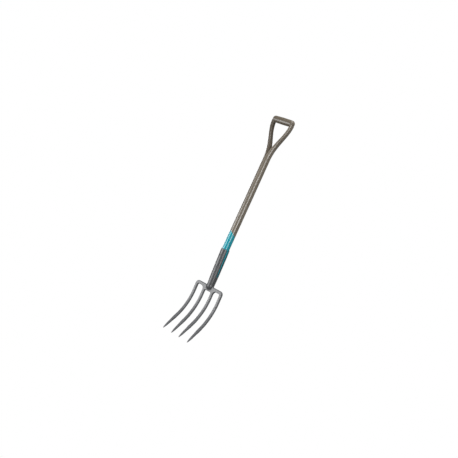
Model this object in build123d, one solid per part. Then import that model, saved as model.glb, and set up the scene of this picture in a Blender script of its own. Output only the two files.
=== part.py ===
from build123d import *
import os
from math import asin, cos, degrees, pi, radians, sin, sqrt

# Digging fork with four curved tines, a strapped socket, a round ash shaft split into
# two bent arms, and a turned cross grip.  Millimetres.  +Z runs up the shaft, X across
# the tines, and the tines curve towards -Y.  The origin is on the shaft's axis, halfway
# up its plain round length.

# ---------------------------------------------------------------- driving dimensions
# heights
RIM_Z = -240.0            # top edge of the socket straps
SPLIT_Z = 247.0           # the shaft's split starts here
GRIP_Z = 450.0            # axis of the cross grip

# shaft
SHAFT_R_RIM = 18.8        # radius at the socket's rim
SHAFT_R_TOP = 18.25       # radius just under the split
SHAFT_END_R = 14.5        # radius of the tapered end inside the socket
SHAFT_IN_SOCKET = 168.0   # length of the tapered end

# the two arms
ARM_SPREAD = 58.5         # from the middle plane to the middle of an arm, at the grip
ARM_TOP_Z = 443.0         # the arms end here, round the underside of the grip
ARM_OUTER = 9.5           # half width towards the outside, at the grip
ARM_INNER = 9.7           # half width towards the hand, at the grip
ARM_DEPTH = 14.0          # half depth front to back, at the grip
ARM_STATIONS = 12

# cross grip
GRIP_HALF = 67.0          # half length
GRIP_DOME = 14.0          # length of each rounded end
GRIP_FLAT_R = 3.0         # small flat in the middle of each end
GRIP_R_END = 16.5
GRIP_R_MID = 17.75
DOWEL_R = 5.0
DOWEL_UP = 11.0           # how far a dowel reaches above the grip's underside
DOWEL_DOWN = 26.0         # how far it reaches down into the arm

# socket
CRANK = 2.8               # degrees the socket leans back below the rim
SOCKET_R_RIM = 21.6
SOCKET_R_LOW = 20.9       # at the foot of the side slots
SOCKET_R_TOE = 19.2       # above the crossbar
SLOT_LENGTH = 148.0
SLOT_TOP_HALF = 8.5
SLOT_FOOT_HALF = 6.0
STRAP_CORNER = 7.0        # rounding of the straps' top corners
TUBE_END = 190.0          # distance below the rim where the plain tube stops
TOE_SECTIONS = (          # distance below the rim, half width, half depth, shift back
    (180.0, 17.6, 17.5, 0.2),
    (192.0, 19.8, 19.2, -0.7),
    (203.0, 19.7, 18.0, -1.0),
    (213.0, 17.2, 13.6, 1.6),
    (221.5, 12.6, 8.6, 3.8),
)
RIVET_R = 3.0
RIVET_HEAD_R = 4.8
RIVET_PROUD = 0.9
RIVET_DOME = 1.0
RIVET_DROPS = (34.0, 96.0)    # below the rim

# tine frame
BAR_DROP = 196.0          # top of the crossbar, below the rim
FRAME_Y = 9.3             # the frame's mid plane, behind the shaft's axis, at the bar top
FRAME_LEAN = 1.6          # degrees the crossbar and tine roots lean back
BAR_DEPTH = 16.0          # height of the crossbar between the tines
WEB_DEPTH = 28.5          # height of the web under the socket
SADDLE_HALF = 24.0        # half width of the low saddle the socket stands on
SADDLE_RISE = 1.6         # height of the saddle above the treads
SHOULDER_R = 18.0         # outer corners of the frame
GAP_R_MID = 6.0           # corner radii at the tops of the gaps between the tines
GAP_R_NEAR = 17.0
GAP_R_FAR = 8.0
TINE_W = 15.0             # across X
TINE_T = 12.5             # front to back
EDGE_R = 3.4              # rounding along every forged edge
TINE_X_OUTER = 85.5
TINE_X_INNER = 29.0
SWING_OUTER = 1.9         # degrees the bend turns away from the middle
SWING_INNER = -1.2
ROOT_LENGTH = 54.0        # straight tine root, measured from the bar top
BEND_R = 259.0
BEND_ANGLE = 34.6
TINE_LOWER = 95.0         # straight length after the bend
TINE_POINT = 74.0         # the last part of it, which is ground to the point
POINT_TAPER = ((0.0, 1.0), (0.5, 0.76), (0.86, 0.47), (1.0, 0.22))    # place, scale

# weld
BEAD_R = 2.5
BEAD_FRONT = ((19.0, -0.5), (18.8, -7.0), (14.6, -16.5), (0.0, -21.6))    # half of each run
BEAD_BACK = ((18.6, -0.5), (18.3, -7.0), (16.4, -17.5), (10.0, -24.6), (0.0, -26.4))


# ---------------------------------------------------------------- helpers
def smooth(u):
    """A raised cosine from 0 to 1."""
    u = min(max(u, 0.0), 1.0)
    return (1.0 - cos(pi * u)) / 2.0


def mix(a, b, u):
    return a + (b - a) * u


def rounded(plane, width, depth, radius):
    """A rounded rectangle placed on a plane."""
    return plane * RectangleRounded(width, depth, radius)


# ---------------------------------------------------------------- planes
# axis of the socket: it starts on the shaft's axis at the rim and leans back going down
socket_down = Vector(0, sin(radians(CRANK)), -cos(radians(CRANK)))
socket_plane = Plane(origin=(0, 0, RIM_Z), x_dir=(1, 0, 0), z_dir=-socket_down)

# plane of the crossbar: local x is X, local y runs up the tine roots
lean = radians(FRAME_LEAN)
frame_plane = Plane(
    origin=(0, FRAME_Y, RIM_Z - BAR_DROP), x_dir=(1, 0, 0), z_dir=(0, -cos(lean), -sin(lean))
)

# plane of the shaft's knee at the rim, tilted half as far as the socket
knee = radians(CRANK / 2.0)
knee_plane = Plane(origin=(0, 0, RIM_Z), x_dir=(1, 0, 0), z_dir=(0, -sin(knee), cos(knee)))


# ---------------------------------------------------------------- cross grip
def make_grip():
    shoulder = GRIP_HALF - GRIP_DOME
    rise = degrees(asin(GRIP_FLAT_R / GRIP_R_END))
    tip = shoulder + GRIP_DOME * cos(radians(rise))
    with BuildPart() as grip:
        with BuildSketch(Plane.XZ):
            with BuildLine():
                ThreePointArc((-shoulder, GRIP_R_END), (0, GRIP_R_MID), (shoulder, GRIP_R_END))
                EllipticalCenterArc((shoulder, 0), GRIP_DOME, GRIP_R_END, rise, arc_size=90 - rise)
                Polyline((tip, GRIP_FLAT_R), (tip, 0), (-tip, 0), (-tip, GRIP_FLAT_R))
                EllipticalCenterArc((-shoulder, 0), GRIP_DOME, GRIP_R_END, 90, arc_size=90 - rise)
            make_face()
        revolve(axis=Axis.X)
    return Pos(0, 0, GRIP_Z) * grip.part


def arm_dowel(side):
    foot = GRIP_Z - GRIP_R_END - DOWEL_DOWN
    length = DOWEL_UP + DOWEL_DOWN
    pin = Cylinder(DOWEL_R, length, align=(Align.CENTER, Align.CENTER, Align.MIN))
    pin = chamfer(pin.edges().filter_by(GeomType.CIRCLE), 0.8)
    return Pos(side * ARM_SPREAD, 0, foot) * pin


# ---------------------------------------------------------------- shaft and arms
def arm_section(z):
    """One section of the right-hand arm: a half disc at the split, and two half
    ellipses back to back above it."""
    u = (z - SPLIT_Z) / (ARM_TOP_Z - SPLIT_Z)
    x = ARM_SPREAD * smooth(u)
    outer = mix(SHAFT_R_TOP, ARM_OUTER, smooth(u / 0.74))
    inner = ARM_INNER * smooth(u / 0.6)
    depth = mix(SHAFT_R_TOP, ARM_DEPTH, smooth(u / 0.74))
    with BuildSketch(Plane.XY.offset(z)) as section:
        with BuildLine():
            EllipticalCenterArc((x, 0), outer, depth, -90, arc_size=180)
            if inner > 0:
                EllipticalCenterArc((x, 0), inner, depth, 90, arc_size=180)
            else:
                Line((x, depth), (x, -depth))
        make_face()
    return section.sketch


def make_arm():
    heights = [mix(SPLIT_Z, ARM_TOP_Z, i / ARM_STATIONS) for i in range(ARM_STATIONS + 1)]
    arm = loft([arm_section(z) for z in heights])
    half_space = Pos(0, 0, SPLIT_Z) * Box(
        200, 100, 300, align=(Align.MIN, Align.CENTER, Align.MIN)
    )
    return arm & half_space


def make_shaft(grip):
    rim = knee_plane * Circle(SHAFT_R_RIM)
    stem = loft([rim, Pos(0, 0, SPLIT_Z) * Circle(SHAFT_R_TOP)])
    tail = loft([socket_plane.offset(-SHAFT_IN_SOCKET) * Circle(SHAFT_END_R), rim])
    arm = make_arm()
    wood = stem + tail + arm + mirror(arm, about=Plane.YZ)
    wood -= grip
    for side in (-1, 1):
        wood -= arm_dowel(side)
    return wood


# ---------------------------------------------------------------- tine frame
def make_tine(swing):
    """One tine below its root.  The root's middle line is the local Z axis, and the
    bend's plane is turned by swing degrees about it, so that the point drifts sideways."""
    forward = Vector(sin(radians(swing)), -cos(radians(swing)), 0)
    total = radians(BEND_ANGLE)

    def on_bend(angle):
        drop = ROOT_LENGTH + BEND_R * sin(angle)
        return forward * (BEND_R * (1 - cos(angle))) + Vector(0, 0, -drop)

    bend = ThreePointArc(on_bend(0), on_bend(total / 2.0), on_bend(total))
    down = forward * sin(total) + Vector(0, 0, -cos(total))
    hinge = Axis((0, 0, 0), forward.cross(Vector(0, 0, 1)))
    across = Vector(1, 0, 0).rotate(hinge, -BEND_ANGLE)
    top = Plane(origin=on_bend(0), x_dir=(1, 0, 0), z_dir=(0, 0, -1))
    shank = sweep(rounded(top, TINE_W, TINE_T, EDGE_R), path=bend)
    start = Plane(origin=on_bend(total), x_dir=across, z_dir=down)
    plain = TINE_LOWER - TINE_POINT
    shank += extrude(rounded(start, TINE_W, TINE_T, EDGE_R), plain)
    taper = []
    for along, scale in POINT_TAPER:
        plane = start.offset(plain + along * TINE_POINT)
        taper.append(rounded(plane, scale * TINE_W, scale * TINE_T, scale * EDGE_R))
    return shank + loft(taper)


def gap_outline(left, right, top, left_r, right_r):
    """A gap between two tines: straight sides, a flat top and two rounded corners."""
    foot = -ROOT_LENGTH - 1.0
    bow = 1 - sqrt(0.5)
    with BuildSketch() as gap:
        with BuildLine():
            Polyline((right, top - right_r), (right, foot), (left, foot), (left, top - left_r))
            ThreePointArc(
                (left, top - left_r), (left + left_r * bow, top - left_r * bow), (left + left_r, top)
            )
            Line((left + left_r, top), (right - right_r, top))
            ThreePointArc(
                (right - right_r, top),
                (right - right_r * bow, top - right_r * bow),
                (right, top - right_r),
            )
        make_face()
    return gap.sketch


def make_comb():
    """Crossbar, web and tine roots, drawn in the frame's plane."""
    half_w = TINE_W / 2.0
    outer = TINE_X_OUTER + half_w
    with BuildSketch() as blank:
        Rectangle(2.0 * outer, ROOT_LENGTH, align=(Align.CENTER, Align.MAX))
        fillet(blank.vertices().sort_by(Axis.Y)[-2:], SHOULDER_R)
    outline = blank.sketch
    with BuildSketch() as saddle:
        with BuildLine():
            Polyline(
                (-SADDLE_HALF, -5), (-SADDLE_HALF, 0), (SADDLE_RISE - SADDLE_HALF, SADDLE_RISE),
                (SADDLE_HALF - SADDLE_RISE, SADDLE_RISE), (SADDLE_HALF, 0), (SADDLE_HALF, -5),
                (-SADDLE_HALF, -5),
            )
        make_face()
    outline += saddle.sketch
    inside = TINE_X_INNER - half_w
    near, far = TINE_X_INNER + half_w, TINE_X_OUTER - half_w
    outline -= gap_outline(-inside, inside, -WEB_DEPTH, GAP_R_MID, GAP_R_MID)
    outline -= gap_outline(near, far, -BAR_DEPTH, GAP_R_NEAR, GAP_R_FAR)
    outline -= gap_outline(-far, -near, -BAR_DEPTH, GAP_R_FAR, GAP_R_NEAR)
    return extrude(frame_plane * outline, amount=TINE_T / 2.0, both=True)


def make_tine_frame():
    comb = make_comb()
    down = Vector(0, sin(lean), -cos(lean))
    foot_height = min(e.center().dot(down) * -1 for e in comb.edges())
    long_edges = []
    for edge in comb.edges():
        on_foot = abs(edge.center().dot(down) * -1 - foot_height) < 0.5
        across = edge.geom_type == GeomType.LINE and abs(abs(edge.tangent_at(0.5).Y) - cos(lean)) < 0.01
        if not on_foot and not across:
            long_edges.append(edge)
    frame = fillet(long_edges, EDGE_R)
    stand = Plane(
        origin=frame_plane.origin, x_dir=(1, 0, 0), z_dir=(0, -sin(lean), cos(lean))
    )
    for side in (-1, 1):
        for x, swing in ((TINE_X_INNER, SWING_INNER), (TINE_X_OUTER, SWING_OUTER)):
            frame += stand.location * Pos(side * x, 0, 0) * make_tine(side * swing)
    return frame


# ---------------------------------------------------------------- socket
def socket_body():
    """The outside of the socket: a slightly barrelled tube and a closing toe."""
    profile = [
        (SOCKET_R_RIM - 0.3, 0),
        (SOCKET_R_RIM, -16),
        (SOCKET_R_LOW + 0.3, -110),
        (SOCKET_R_LOW - 0.3, -150),
        (SOCKET_R_TOE, -TUBE_END),
    ]
    with BuildPart() as tube:
        with BuildSketch(Plane.XZ):
            with BuildLine():
                Spline(*profile)
                Polyline(profile[-1], (0, -TUBE_END), (0, 0), profile[0])
            make_face()
        revolve(axis=Axis.Z)
    sections = []
    for drop, half_x, half_y, back in TOE_SECTIONS:
        sections.append(Pos(0, back, -drop) * Ellipse(half_x, half_y))
    toe = loft(sections)
    toe = fillet(toe.edges().sort_by(Axis.Z)[0], 3.0)
    return tube.part + toe


def slot_cutter():
    """The funnel-shaped slot that parts the two straps, cut through both sides."""
    top = STRAP_CORNER
    with BuildPart() as cutter:
        with BuildSketch(Plane.YZ):
            with BuildLine():
                foot = -SLOT_LENGTH + SLOT_FOOT_HALF
                ThreePointArc((-SLOT_FOOT_HALF, foot), (0, -SLOT_LENGTH), (SLOT_FOOT_HALF, foot))
                Line((SLOT_FOOT_HALF, foot), (SLOT_TOP_HALF, -top))
                corner = top * (1 - sqrt(0.5))
                ThreePointArc(
                    (SLOT_TOP_HALF, -top),
                    (SLOT_TOP_HALF + corner, -corner),
                    (SLOT_TOP_HALF + top, 0),
                )
                Polyline(
                    (SLOT_TOP_HALF + top, 0), (SLOT_TOP_HALF + top, 5),
                    (-SLOT_TOP_HALF - top, 5), (-SLOT_TOP_HALF - top, 0),
                )
                ThreePointArc(
                    (-SLOT_TOP_HALF - top, 0),
                    (-SLOT_TOP_HALF - corner, -corner),
                    (-SLOT_TOP_HALF, -top),
                )
                Line((-SLOT_TOP_HALF, -top), (-SLOT_FOOT_HALF, foot))
            make_face()
        extrude(amount=40, both=True)
    return cutter.part


def strap_rivet(drop):
    """A rivet right through both straps and the shaft, with low domed heads."""
    half = mix(SOCKET_R_RIM, SOCKET_R_LOW, drop / 150.0) + RIVET_PROUD
    dome_r = (RIVET_HEAD_R**2 + RIVET_DOME**2) / (2.0 * RIVET_DOME)
    head = Sphere(dome_r) - Pos(0, 0, -RIVET_DOME) * Box(3 * dome_r, 3 * dome_r, 2 * dome_r)
    head = Pos(0, 0, half - dome_r) * head
    low = Align.MAX
    seat = Pos(0, 0, half - RIVET_DOME) * Cone(
        RIVET_R, RIVET_HEAD_R, 2.0, align=(Align.CENTER, Align.CENTER, low)
    )
    pin = Cylinder(RIVET_R, 2.0 * (half - RIVET_DOME - 1.0))
    rivet = pin + seat + head
    rivet += Rot(180, 0, 0) * (seat + head)
    return socket_plane * Pos(0, 0, -drop) * Rot(90, 0, 0) * rivet


def make_socket(shaft, frame, rivets):
    void = Pos(0, 0, -SHAFT_IN_SOCKET) * Cylinder(
        SHAFT_END_R, 8.0, align=(Align.CENTER, Align.CENTER, Align.MAX)
    )
    body = socket_plane * (socket_body() - void - slot_cutter())
    body -= shaft
    body -= frame
    for rivet in rivets:
        body -= rivet
    return body


# ---------------------------------------------------------------- weld
def weld_bead():
    """Fillet welds round the toe where it sits on the crossbar, front and back."""
    beads = []
    for face, half in ((-1, BEAD_FRONT), (1, BEAD_BACK)):
        plane = frame_plane.offset(-face * TINE_T / 2.0)
        run = [(-x, y) for x, y in half] + [(x, y) for x, y in reversed(half[:-1])]
        path = plane * Spline(*run)
        start = Plane(origin=path @ 0, z_dir=path % 0)
        beads.append(sweep(start * Circle(BEAD_R), path=path))
    return beads


# ---------------------------------------------------------------- build and write
grip = make_grip()
shaft = make_shaft(grip)
dowels = [arm_dowel(side) for side in (-1, 1)]
for dowel in dowels:
    grip -= dowel
tine_frame = make_tine_frame()
rivets = [strap_rivet(drop) for drop in RIVET_DROPS]
for rivet in rivets:
    shaft -= rivet
socket = make_socket(shaft, tine_frame, rivets)
weld = [max((bead - socket - tine_frame).solids(), key=lambda s: s.volume) for bead in weld_bead()]

parts = {
    "shaft": shaft,
    "grip": grip,
    "grip_dowels": Compound(children=dowels),
    "socket": socket,
    "strap_rivets": Compound(children=rivets),
    "tine_frame": tine_frame,
    "socket_weld": Compound(children=weld),
}

os.makedirs("parts", exist_ok=True)
for name, shape in parts.items():
    export_step(shape, f"parts/{name}.step")
    box = shape.bounding_box()
    print(name, len(shape.solids()), "solids", round(shape.volume), box.min, box.max)
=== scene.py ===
import math
import bmesh
import bpy
from mathutils import Matrix, Vector, noise


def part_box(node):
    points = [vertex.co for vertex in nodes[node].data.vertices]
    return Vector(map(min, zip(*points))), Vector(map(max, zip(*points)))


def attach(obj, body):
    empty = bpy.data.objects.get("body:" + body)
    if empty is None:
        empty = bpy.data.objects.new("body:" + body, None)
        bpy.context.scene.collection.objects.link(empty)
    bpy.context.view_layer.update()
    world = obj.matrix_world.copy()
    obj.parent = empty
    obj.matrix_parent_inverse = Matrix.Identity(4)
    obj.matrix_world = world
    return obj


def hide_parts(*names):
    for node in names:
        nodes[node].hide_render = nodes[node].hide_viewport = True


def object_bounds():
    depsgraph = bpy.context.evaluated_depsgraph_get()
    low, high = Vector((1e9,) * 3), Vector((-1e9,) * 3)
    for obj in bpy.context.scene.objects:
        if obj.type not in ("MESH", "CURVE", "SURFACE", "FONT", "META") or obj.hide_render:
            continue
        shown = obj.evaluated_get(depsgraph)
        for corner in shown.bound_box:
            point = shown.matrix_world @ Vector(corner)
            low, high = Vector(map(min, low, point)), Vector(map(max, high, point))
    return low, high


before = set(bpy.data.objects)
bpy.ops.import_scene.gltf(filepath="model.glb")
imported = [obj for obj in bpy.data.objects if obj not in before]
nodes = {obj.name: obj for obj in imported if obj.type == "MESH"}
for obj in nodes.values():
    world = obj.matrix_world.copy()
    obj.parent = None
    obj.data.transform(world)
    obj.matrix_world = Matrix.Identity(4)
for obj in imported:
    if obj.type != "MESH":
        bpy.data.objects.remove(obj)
cad_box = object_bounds()
scene = bpy.context.scene

# ------------------------------------------------------------------ camera
AZIMUTH = math.radians(40.0)
ELEVATION = math.radians(0.59)
ROLL = math.radians(24.44)
DISTANCE = 3.83
LENS_MM = 61.15
SENSOR_MM = 36.0
NEAR, FAR = 0.05, 100.0
AIM_Z = -0.1426           # height the camera looks at
AIM_SIDE = -0.0263        # and how far to its left


def make_camera():
    """Sets the camera. Returns the directions to its level right and back to it."""
    right = Vector((math.cos(AZIMUTH), math.sin(AZIMUTH), 0.0))
    back = Vector((math.sin(AZIMUTH) * math.cos(ELEVATION),
                   -math.cos(AZIMUTH) * math.cos(ELEVATION),
                   math.sin(ELEVATION)))
    up = back.cross(right)
    aim = Vector((0.0, 0.0, AIM_Z)) + right * AIM_SIDE
    cam_right = right * math.cos(ROLL) + up * math.sin(ROLL)
    cam_up = up * math.cos(ROLL) - right * math.sin(ROLL)
    data = bpy.data.cameras.new("camera")
    data.sensor_width = SENSOR_MM
    data.lens = LENS_MM
    data.clip_start, data.clip_end = NEAR, FAR
    cam = bpy.data.objects.new("camera", data)
    scene.collection.objects.link(cam)
    turn = Matrix((cam_right, cam_up, back)).transposed().to_4x4()
    cam.matrix_world = Matrix.Translation(aim + back * DISTANCE) @ turn
    scene.camera = cam
    return right, back


cam_right, cam_back = make_camera()


# ------------------------------------------------------------------ studio
# name, turn from the camera (degrees), reach, height of its middle, width, height, radiance
SOFTBOXES = (
    ("key", -77.0, 3.2, -1.00, 2.2, 2.2, 7.5),
    ("front", 13.0, 4.2, -0.25, 1.3, 2.2, 11.0),
    ("fill", 95.0, 3.6, -0.40, 2.2, 2.2, 0.6),
    ("rim_left", -165.0, 4.2, -0.30, 1.1, 2.4, 4.0),
    ("rim_right", 163.0, 4.2, -0.30, 3.2, 2.4, 0.8),
)
TOP_RISE, TOP_SIZE, TOP_RADIANCE = 3.0, 2.5, 4.5
TOP_AIM_Z = -0.15         # the top light hangs over this height, a metre towards the camera
FLOOR_GAP = 0.002         # the floor lies this far under the points
FLOOR_HALF = 12.0
AMBIENT = 0.03            # strength of the world's light, which the camera sees as white
WHITE = (1.0, 1.0, 1.0, 1.0)


def area_light(name, place, target, size_x, size_y, power):
    data = bpy.data.lights.new(name, "AREA")
    data.shape = "RECTANGLE"
    data.size, data.size_y = size_x, size_y
    data.energy = power
    lamp = bpy.data.objects.new(name, data)
    scene.collection.objects.link(lamp)
    lamp.location = place
    lamp.rotation_mode = "QUATERNION"
    lamp.rotation_quaternion = (Vector(target) - Vector(place)).to_track_quat("-Z", "Y")
    lamp.visible_camera = False


def make_studio():
    """A white surround that gives little light, and the soft boxes round the object."""
    scene.view_settings.view_transform = "Standard"
    world = bpy.data.worlds.new("studio")
    scene.world = world
    world.use_nodes = True
    tree = world.node_tree
    seen = tree.nodes["Background"]
    seen.inputs["Color"].default_value = WHITE
    seen.inputs["Strength"].default_value = 1.0
    lit = tree.nodes.new("ShaderNodeBackground")
    lit.inputs["Color"].default_value = WHITE
    lit.inputs["Strength"].default_value = AMBIENT
    path = tree.nodes.new("ShaderNodeLightPath")
    mix = tree.nodes.new("ShaderNodeMixShader")
    tree.links.new(path.outputs["Is Camera Ray"], mix.inputs[0])
    tree.links.new(lit.outputs[0], mix.inputs[1])
    tree.links.new(seen.outputs[0], mix.inputs[2])
    tree.links.new(mix.outputs[0], tree.nodes["World Output"].inputs["Surface"])

    for name, turn, reach, level, width, height, radiance in SOFTBOXES:
        turn = math.radians(turn)
        middle = Vector((0.0, 0.0, level))
        place = middle + (cam_back * math.cos(turn) + cam_right * math.sin(turn)) * reach
        power = radiance * math.pi * width * height
        area_light(name, place, middle, width, height, power)
    middle = Vector((0.0, 0.0, TOP_AIM_Z))
    place = middle + cam_back + Vector((0.0, 0.0, TOP_RISE))
    power = TOP_RADIANCE * math.pi * TOP_SIZE**2
    area_light("top", place, middle, TOP_SIZE, TOP_SIZE, power)


def make_floor():
    """A plain pale floor that only the camera sees, open when seen from underneath."""
    mesh = bpy.data.meshes.new("floor")
    half, level = FLOOR_HALF, cad_box[0].z - FLOOR_GAP
    corners = [(x * half, y * half, level) for x, y in ((-1, -1), (1, -1), (1, 1), (-1, 1))]
    mesh.from_pydata(corners, [], [(0, 1, 2, 3)])
    floor = bpy.data.objects.new("floor", mesh)
    scene.collection.objects.link(floor)
    for ray in ("diffuse", "glossy", "transmission", "volume_scatter", "shadow"):
        setattr(floor, "visible_" + ray, False)
    material = bpy.data.materials.new("floor")
    material.use_nodes = True
    tree = material.node_tree
    tree.nodes.clear()
    pale = tree.nodes.new("ShaderNodeEmission")
    clear = tree.nodes.new("ShaderNodeBsdfTransparent")
    side = tree.nodes.new("ShaderNodeNewGeometry")
    mix = tree.nodes.new("ShaderNodeMixShader")
    out = tree.nodes.new("ShaderNodeOutputMaterial")
    tree.links.new(side.outputs["Backfacing"], mix.inputs[0])
    tree.links.new(pale.outputs[0], mix.inputs[1])
    tree.links.new(clear.outputs[0], mix.inputs[2])
    tree.links.new(mix.outputs[0], out.inputs["Surface"])
    mesh.materials.append(material)


make_floor()
make_studio()


# ------------------------------------------------------------------ node helpers
class Graph:
    """A small helper for writing a material as a list of nodes."""

    def __init__(self, name):
        self.material = bpy.data.materials.new(name)
        self.material.use_nodes = True
        self.tree = self.material.node_tree
        self.tree.nodes.clear()
        self.out = self.node("ShaderNodeOutputMaterial")
        self.shader = self.node("ShaderNodeBsdfPrincipled")
        self.link(self.shader.outputs["BSDF"], self.out.inputs["Surface"])
        self.place = self.node("ShaderNodeTexCoord").outputs["Object"]

    def node(self, kind, **settings):
        made = self.tree.nodes.new(kind)
        for key, value in settings.items():
            setattr(made, key, value)
        return made

    def link(self, a, b):
        self.tree.links.new(a, b)

    def put(self, value, socket):
        if isinstance(value, bpy.types.NodeSocket):
            self.link(value, socket)
        else:
            socket.default_value = value

    def math(self, operation, a, b=0.0):
        made = self.node("ShaderNodeMath", operation=operation)
        for value, socket in zip((a, b), made.inputs):
            self.put(value, socket)
        return made.outputs[0]

    def mapped(self, scale, source=None):
        made = self.node("ShaderNodeMapping")
        made.inputs["Scale"].default_value = scale
        self.link(source or self.place, made.inputs["Vector"])
        return made.outputs[0]

    def noise(self, vector, detail=3.0, rough=0.55):
        made = self.node("ShaderNodeTexNoise")
        self.link(vector, made.inputs["Vector"])
        made.inputs["Scale"].default_value = 1.0
        made.inputs["Detail"].default_value = detail
        made.inputs["Roughness"].default_value = rough
        return made.outputs["Fac"]

    def grey_ramp(self, value, stops):
        made = self.node("ShaderNodeValToRGB")
        items = made.color_ramp.elements
        while len(items) < len(stops):
            items.new(0.5)
        for item, (where, level) in zip(items, stops):
            item.position = where
            item.color = (level, level, level, 1.0)
        self.put(value, made.inputs["Fac"])
        return made.outputs["Color"]

    def spread(self, value, low, high, to_low=0.0, to_high=1.0):
        made = self.node("ShaderNodeMapRange")
        for name, item in (("Value", value), ("From Min", low), ("From Max", high),
                           ("To Min", to_low), ("To Max", to_high)):
            self.put(item, made.inputs[name])
        return made.outputs[0]

    def blend(self, share, a, b):
        made = self.node("ShaderNodeMix", data_type="RGBA")
        self.put(share, made.inputs[0])
        self.put(a, made.inputs[6])
        self.put(b, made.inputs[7])
        return made.outputs[2]

    def split(self, vector):
        made = self.node("ShaderNodeSeparateXYZ")
        self.link(vector, made.inputs[0])
        return made.outputs

    def bump(self, height, strength, distance, under=None):
        made = self.node("ShaderNodeBump")
        made.inputs["Strength"].default_value = strength
        made.inputs["Distance"].default_value = distance
        self.link(height, made.inputs["Height"])
        if under:
            self.link(under, made.inputs["Normal"])
        return made.outputs[0]


def shade(hex_colour, gain=1.0):
    """Linear colour of an sRGB hex code."""
    parts = [int(hex_colour[i:i + 2], 16) / 255.0 for i in (0, 2, 4)]
    linear = [p / 12.92 if p <= 0.04045 else ((p + 0.055) / 1.055) ** 2.4 for p in parts]
    return tuple(p * gain for p in linear) + (1.0,)


# ------------------------------------------------------------------ materials
TEAL = "1294a3"
SOCKET_COAT, SOCKET_ROUGH = "4a4b4d", 0.34
FRAME_COAT, FRAME_ROUGH = "606163", 0.40
RUBBED = "8d8c8a"         # where the powder coat is rubbed
LATE_DARK, LATE_LIGHT = "6d6558", "8f8576"    # stained late wood between its fibres
EARLY_WOOD = "554c41"
# painted shade: the wood's colour on the side darkened to stand in for shade
PAINTED_SHADE_WOOD = "463e34"
STREAK = "564e43"
PORE = "2c261f"

PAINT_Z = -0.159          # the lacquer's upper edge crosses the shaft's axis here
PAINT_SLANT = 0.747       # it drops this much for each metre towards PAINT_TURN
PAINT_TURN = math.radians(55.0)
PAINT_BLUR = 0.0003       # half the width of that edge
PITH = (0.052, 0.031)     # how far beside the part the middle of the tree lies; the painted shade falls on the side nearest it
RING = 0.0026             # spacing of the growth rings
PAINTED_SHADE_IN, PAINTED_SHADE_OUT = 0.040, 0.063    # painted shade: the wood is darkest inside the first radius, and fades from this share to nothing at the second
PAINTED_SHADE_SHARE = 0.75                    # fades from this share to nothing at the second
GRIP_HEIGHT = 0.45
WAX = 0.7                 # weight of the clear wax coat on bare wood
WORN_WAX = 0.15           # and where hands have worn it, and over the lacquer
WAX_ROUGH = 0.27
GRAIN_BUMP, GRAIN_DEPTH = 0.35, 0.0003


def coat_material(name, colour, rough):
    """Satin powder coat on steel: orange peel, faint mottling and a few rubbed specks."""
    g = Graph(name)
    mottle = g.noise(g.mapped((38, 38, 38)), detail=5.0, rough=0.6)
    peel = g.noise(g.mapped((520, 520, 520)), detail=2.0)
    grit = g.noise(g.mapped((1900, 1900, 1900)), detail=1.0)
    forge = g.noise(g.mapped((75, 75, 45)), detail=2.0)
    rub = g.noise(g.mapped((210, 210, 120)), detail=4.0, rough=0.7)
    tone = g.blend(g.spread(mottle, 0.3, 0.7), shade(colour, 0.88), shade(colour, 1.12))
    specks = g.math("MULTIPLY", g.spread(grit, 0.45, 0.75), 0.35)
    tone = g.blend(specks, tone, shade(colour, 1.5))
    rubbed = g.math("MULTIPLY", g.spread(rub, 0.66, 0.76), 0.5)
    tone = g.blend(rubbed, tone, shade(RUBBED))
    g.put(tone, g.shader.inputs["Base Color"])
    sheen = g.spread(mottle, 0.3, 0.7, rough - 0.04, rough + 0.07)
    g.put(sheen, g.shader.inputs["Roughness"])
    under = g.bump(forge, 0.30, 0.0012)
    skin = g.math("ADD", g.math("MULTIPLY", peel, 0.8), g.math("MULTIPLY", grit, 0.2))
    g.put(g.bump(skin, 0.30, 0.0003, under), g.shader.inputs["Normal"])
    return g.material


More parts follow.
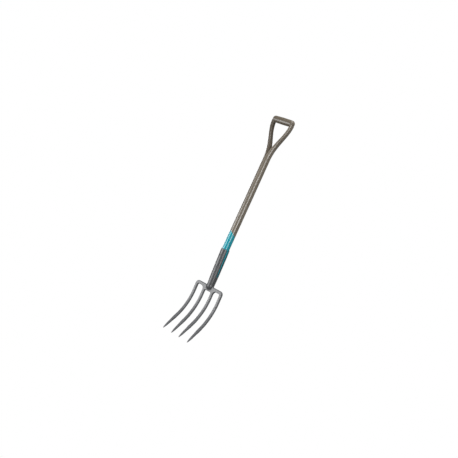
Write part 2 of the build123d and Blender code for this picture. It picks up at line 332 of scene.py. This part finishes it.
def ash(g, along):
    """Stained ash cut from a stave whose rings are centred beside the part, with one side
    darkened as painted shade.
    Returns its colour, its surface height and the share of open pores."""
    x, y, z = g.split(g.place)
    u, v, w = (x, y, z) if along == "z" else (y, g.math("SUBTRACT", z, GRIP_HEIGHT), x)
    stave = g.node("ShaderNodeCombineXYZ")
    for value, socket in zip((u, v, w), stave.inputs):
        g.put(value, socket)
    stave = stave.outputs[0]
    drift = g.noise(g.mapped((9, 9, 1.6), source=stave), detail=2.0)
    waver = g.noise(g.mapped((60, 60, 9), source=stave), detail=3.0)
    du = g.math("ADD", u, PITH[0])
    dv = g.math("ADD", v, PITH[1])
    squares = g.math("ADD", g.math("MULTIPLY", du, du), g.math("MULTIPLY", dv, dv))
    reach = g.math("SQRT", squares)
    phase = g.math("MULTIPLY", reach, 1.0 / RING)
    phase = g.math("ADD", phase, g.math("MULTIPLY", drift, 7.0))
    phase = g.math("ADD", phase, g.math("MULTIPLY", waver, 0.7))
    ring = g.math("FRACT", phase)
    early = g.grey_ramp(ring, [(0.0, 1), (0.10, 0.85), (0.34, 0.12),
                               (0.80, 0), (0.97, 0.1), (1.0, 1)])
    fibre = g.noise(g.mapped((700, 700, 11), source=stave), detail=3.0, rough=0.65)
    dashes = g.noise(g.mapped((1500, 1500, 42), source=stave), detail=1.0)
    open_share = g.math("ADD", g.math("MULTIPLY", early, 0.75), 0.12)
    pores = g.math("MULTIPLY", g.spread(dashes, 0.52, 0.62), open_share)
    tone = g.blend(g.spread(fibre, 0.3, 0.7), shade(LATE_DARK), shade(LATE_LIGHT))
    tone = g.blend(g.math("MULTIPLY", early, 0.55), tone, shade(EARLY_WOOD))
    # painted shade: darkens the wood on the side nearest PITH
    painted_shade = g.spread(reach, PAINTED_SHADE_IN, PAINTED_SHADE_OUT, PAINTED_SHADE_SHARE, 0.0)
    tone = g.blend(painted_shade, tone, shade(PAINTED_SHADE_WOOD))
    streaks = g.math("MULTIPLY", g.spread(drift, 0.35, 0.65), 0.30)
    tone = g.blend(streaks, tone, shade(STREAK))
    tone = g.blend(g.math("MULTIPLY", pores, 0.75), tone, shade(PORE))
    height = g.math("SUBTRACT", g.math("MULTIPLY", fibre, 0.35), pores)
    return tone, height, pores


def ash_rough(g, pores):
    """Roughness of waxed ash, smeared by handling and rough in its pores."""
    smear = g.noise(g.mapped((22, 22, 14)), detail=3.0)
    waxed = g.spread(smear, 0.3, 0.7, 0.30, 0.40)
    return g.math("ADD", waxed, g.math("MULTIPLY", pores, 0.25))


def ash_material(name, along, wax):
    """Bare stained ash with its grain along one axis."""
    g = Graph(name)
    tone, height, pores = ash(g, along)
    g.put(tone, g.shader.inputs["Base Color"])
    g.put(ash_rough(g, pores), g.shader.inputs["Roughness"])
    g.put(g.bump(height, GRAIN_BUMP, GRAIN_DEPTH), g.shader.inputs["Normal"])
    g.shader.inputs["Coat Weight"].default_value = wax
    g.shader.inputs["Coat Roughness"].default_value = WAX_ROUGH
    return g.material


def shaft_material():
    """Ash with teal lacquer below a slanted edge."""
    g = Graph("stained_ash_and_lacquer")
    tone, height, pores = ash(g, "z")
    x, y, z = g.split(g.place)
    lean_x = PAINT_SLANT * math.cos(PAINT_TURN)
    lean_y = PAINT_SLANT * math.sin(PAINT_TURN)
    level = g.math("ADD", z, g.math("MULTIPLY", x, lean_x))
    level = g.math("ADD", level, g.math("MULTIPLY", y, lean_y))
    painted = g.spread(level, PAINT_Z - PAINT_BLUR, PAINT_Z + PAINT_BLUR, 1.0, 0.0)
    bare = g.math("SUBTRACT", 1.0, painted)
    mottle = g.noise(g.mapped((35, 35, 14)), detail=3.0)
    lacquer = g.blend(g.spread(mottle, 0.3, 0.7), shade(TEAL, 0.93), shade(TEAL, 1.07))
    lacquer = g.blend(g.math("MULTIPLY", pores, 0.22), lacquer, shade(TEAL, 0.45))
    g.put(g.blend(painted, tone, lacquer), g.shader.inputs["Base Color"])
    sheen = g.spread(mottle, 0.3, 0.7, 0.24, 0.31)
    on_wood = g.math("MULTIPLY", ash_rough(g, pores), bare)
    on_paint = g.math("MULTIPLY", painted, sheen)
    g.put(g.math("ADD", on_wood, on_paint), g.shader.inputs["Roughness"])
    peel = g.noise(g.mapped((260, 260, 160)), detail=2.0)
    film = g.math("ADD", g.math("MULTIPLY", height, 0.30), g.math("MULTIPLY", peel, 0.25))
    film = g.math("ADD", film, 0.6)
    felt = g.math("ADD", g.math("MULTIPLY", height, bare), g.math("MULTIPLY", film, painted))
    g.put(g.bump(felt, GRAIN_BUMP, GRAIN_DEPTH), g.shader.inputs["Normal"])
    g.put(g.spread(painted, 0.0, 1.0, WAX, WORN_WAX), g.shader.inputs["Coat Weight"])
    g.shader.inputs["Coat Roughness"].default_value = WAX_ROUGH
    return g.material


wood_shaft = shaft_material()
wood_grip = ash_material("stained_ash_grip", "x", WORN_WAX)
socket_coat = coat_material("socket_coat", SOCKET_COAT, SOCKET_ROUGH)
frame_coat = coat_material("frame_coat", FRAME_COAT, FRAME_ROUGH)


def dress(node, material):
    for each in nodes[node].material_slots:
        each.material = material


dress("shaft", wood_shaft)
dress("grip", wood_grip)
dress("grip_dowels", wood_shaft)
dress("socket", socket_coat)
dress("strap_rivets", socket_coat)


# ------------------------------------------------------------------ weld bead
BAR_TOP = Vector((0.0, 0.0093, -0.436))    # middle of the crossbar's top edge
BAR_LEAN = math.radians(1.6)
BAR_HALF = 0.00625                         # half of the crossbar's thickness
BEAD_R = 0.0024
BEAD_PITCH = 0.0021                        # spacing of the ripples
BEAD_STEPS, BEAD_SIDES = 260, 20           # points along a bead, and around it
BEAD_WAVES = ((310.0, 0.0, 0.035), (730.0, 1.3, 0.025))    # slow wander of its width
# Half of each bead's line, in mm sideways and up from the middle of the crossbar's top.
BEAD_FRONT = ((19.0, -0.5), (18.8, -7.0), (14.6, -16.5), (0.0, -21.6))
BEAD_BACK = ((18.6, -0.5), (18.3, -7.0), (16.4, -17.5), (10.0, -24.6), (0.0, -26.4))
MM = 0.001
RUN_RESOLUTION = 24                        # curve points between two of the given ones


def smooth_run(points, count):
    """Evenly spaced points on a smooth curve through the given ones, and its length."""
    data = bpy.data.curves.new("run", "CURVE")
    data.dimensions = "3D"
    line = data.splines.new("BEZIER")
    line.bezier_points.add(len(points) - 1)
    for spot, place in zip(line.bezier_points, points):
        spot.co = place
        spot.handle_left_type = spot.handle_right_type = "AUTO"
    data.resolution_u = RUN_RESOLUTION
    holder = bpy.data.objects.new("run", data)
    scene.collection.objects.link(holder)
    bpy.context.view_layer.update()
    mesh = bpy.data.meshes.new_from_object(holder)
    dense = [v.co.copy() for v in mesh.vertices]
    bpy.data.objects.remove(holder)
    bpy.data.meshes.remove(mesh)
    lengths = [0.0]
    for a, b in zip(dense, dense[1:]):
        lengths.append(lengths[-1] + (b - a).length)
    spots, k = [], 0
    for i in range(count):
        goal = lengths[-1] * i / (count - 1)
        while k < len(dense) - 2 and lengths[k + 1] < goal:
            k += 1
        share = (goal - lengths[k]) / max(lengths[k + 1] - lengths[k], 1e-9)
        spots.append(dense[k].lerp(dense[k + 1], share))
    return spots, lengths[-1]


def bead_mesh(bm, half, side):
    """Adds one rippled weld bead; side is -1 on the front face and 1 on the back."""
    up = Vector((0.0, -math.sin(BAR_LEAN), math.cos(BAR_LEAN)))
    out = Vector((0.0, math.cos(BAR_LEAN), math.sin(BAR_LEAN))) * side
    run = [(-x, h) for x, h in half] + [(x, h) for x, h in reversed(half[:-1])]
    face = BAR_TOP + out * BAR_HALF
    points = [face + Vector((x * MM, 0.0, 0.0)) + up * (h * MM) for x, h in run]
    last = BEAD_STEPS - 1
    spots, length = smooth_run(points, BEAD_STEPS)
    rings = []
    for i, spot in enumerate(spots):
        along = (spots[min(i + 1, last)] - spots[max(i - 1, 0)]).normalized()
        across = along.cross(out).normalized()
        travel = length * i / last
        wander = sum(math.sin(travel * rate + lead) * depth for rate, lead, depth in BEAD_WAVES)
        end = min(travel, length - travel) / (1.4 * BEAD_R)
        cap = math.sqrt(max(0.02, 1.0 - (1.0 - min(end, 1.0)) ** 2))
        ring = []
        for j in range(BEAD_SIDES):
            turn = 2.0 * math.pi * j / BEAD_SIDES
            lag = 0.45 * abs(math.cos(turn)) * BEAD_PITCH
            ripple = (travel + lag) / BEAD_PITCH % 1.0
            crest = 0.10 * math.sqrt(1.0 - (2.0 * ripple - 1.0) ** 2)
            size = BEAD_R * cap * (0.90 + crest + wander)
            place = spot + across * math.cos(turn) * size + out * math.sin(turn) * size
            ring.append(bm.verts.new(place))
        rings.append(ring)
    for a, b in zip(rings, rings[1:]):
        for j in range(BEAD_SIDES):
            k = (j + 1) % BEAD_SIDES
            bm.faces.new((a[j], a[k], b[k], b[j]))
    bm.faces.new(rings[0][::-1])
    bm.faces.new(rings[-1])


def make_weld():
    """The two weld beads as one piece."""
    bm = bmesh.new()
    bead_mesh(bm, BEAD_FRONT, -1)
    bead_mesh(bm, BEAD_BACK, 1)
    bmesh.ops.recalc_face_normals(bm, faces=bm.faces)
    mesh = bpy.data.meshes.new("weld_bead")
    bm.to_mesh(mesh)
    bm.free()
    mesh.shade_smooth()
    piece = bpy.data.objects.new("weld_bead", mesh)
    scene.collection.objects.link(piece)
    mesh.materials.append(socket_coat)
    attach(piece, "root")
    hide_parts("socket_weld")


make_weld()


# ------------------------------------------------------------------ tine frame
FORGE_VOXEL = 0.0010
FORGE_WELD = 2e-6         # doubled points closer than this are joined before remeshing
FORGE_SMOOTH = 5          # rounds of smoothing after it
FORGE_DENT = 0.00010      # the surface lies up to about twice this under the smooth form
FORGE_WAVES = ((45.0, 0.6), (120.0, 0.4))    # waves per metre of the dents, and their share


def make_tines():
    """The tine frame as one soft-edged forging with slightly uneven surfaces."""
    bm = bmesh.new()
    bm.from_mesh(nodes["tine_frame"].data)
    bmesh.ops.remove_doubles(bm, verts=bm.verts, dist=FORGE_WELD)
    mesh = bpy.data.meshes.new("tines_fine")
    bm.to_mesh(mesh)
    bm.free()
    rough = bpy.data.objects.new("tines_fine", mesh)
    scene.collection.objects.link(rough)
    remesh = rough.modifiers.new("voxels", "REMESH")
    remesh.mode = "VOXEL"
    remesh.voxel_size = FORGE_VOXEL
    even = rough.modifiers.new("even", "SMOOTH")
    even.factor, even.iterations = 0.5, FORGE_SMOOTH
    bpy.context.view_layer.update()
    evaluated = rough.evaluated_get(bpy.context.evaluated_depsgraph_get())
    done = bpy.data.meshes.new_from_object(evaluated)
    bpy.data.objects.remove(rough)
    lo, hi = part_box("tine_frame")
    spots = [(v.co.copy(), v.normal.copy()) for v in done.vertices]
    moved = []
    for spot, out in spots:
        wave = sum(noise.noise(spot * rate) * share for rate, share in FORGE_WAVES)
        place = spot + out * (FORGE_DENT * wave - FORGE_DENT)
        moved.extend(min(max(place[k], lo[k]), hi[k]) for k in range(3))
    done.vertices.foreach_set("co", moved)
    done.update()
    done.name = "tines"
    done.shade_smooth()
    done.materials.clear()
    done.materials.append(frame_coat)
    piece = bpy.data.objects.new("tines", done)
    scene.collection.objects.link(piece)
    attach(piece, "root")
    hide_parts("tine_frame")


make_tines()
